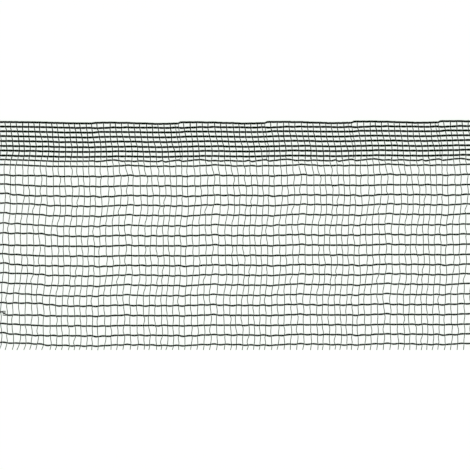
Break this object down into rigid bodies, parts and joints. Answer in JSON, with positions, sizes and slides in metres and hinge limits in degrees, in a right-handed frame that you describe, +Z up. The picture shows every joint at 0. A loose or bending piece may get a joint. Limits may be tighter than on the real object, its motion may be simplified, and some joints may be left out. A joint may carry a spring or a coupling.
{
  "type": "hail net",
  "caption": "Cut length of woven anti-hail netting, an open leno mesh of dark green monofilament with a dense edge band, lying flat.",
  "frame": {"origin": "centre of the net's outline, on the underside that rests on the surface", "axes": "+X along the paired warp lines and the dense edge, +Y across the net towards the dense edge, +Z up out of the net's face"},
  "size_m": [0.271, 0.1304, 0.0019],
  "materials": {
    "monofilament": "satin extruded monofilament, near-black green"
  },
  "bodies": {
    "root": {"hail_net": "monofilament"}
  },
  "joints": []
}
